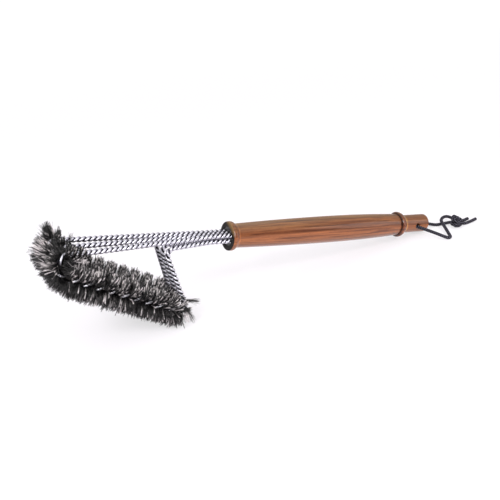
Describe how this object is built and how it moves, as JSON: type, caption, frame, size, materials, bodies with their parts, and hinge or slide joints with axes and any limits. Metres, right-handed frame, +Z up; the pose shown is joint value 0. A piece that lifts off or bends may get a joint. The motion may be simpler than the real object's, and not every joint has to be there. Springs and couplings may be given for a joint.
{
  "type": "grill cleaning brush",
  "caption": "Long-handled grill cleaning brush: turned wooden grip, twisted steel wires bent back into parallel bristle rows and braced to the shaft, and a knotted hanging cord.",
  "frame": {"origin": "on the table under the middle of the resting brush: the centre of the bottom of its bounding box", "axes": "+X from the bristle head towards the tail of the handle, +Z up from the table, +Y to the right of someone holding the handle; the handle's axis slopes 12.6 degrees down towards +X in the XZ plane"},
  "size_m": [0.513, 0.0782, 0.1195],
  "materials": {
    "wood": "reddish-brown hardwood with a satin oil finish",
    "resin": "near-black cured resin",
    "wire": "bright polished stainless steel wire",
    "bristle": null,
    "cord": "black braided cord"
  },
  "bodies": {
    "brush": {"handle": "wood", "bonding_resin": "resin", "left_wire_strand_a": "wire", "left_wire_strand_b": "wire", "centre_wire_strand_a": "wire", "centre_wire_strand_b": "wire", "right_wire_strand_a": "wire", "right_wire_strand_b": "wire", "left_bristles": "bristle", "centre_bristles": "bristle", "right_bristles": "bristle"},
    "cord": {"hanging_cord": "cord"}
  },
  "joints": [
    {"name": "cord_swing", "type": "hinge", "parent": "brush", "child": "cord", "pos_m": [0.17267, 0, 0.0134], "axis": [0, 1, 0], "range_deg": [-120, 120]}
  ]
}
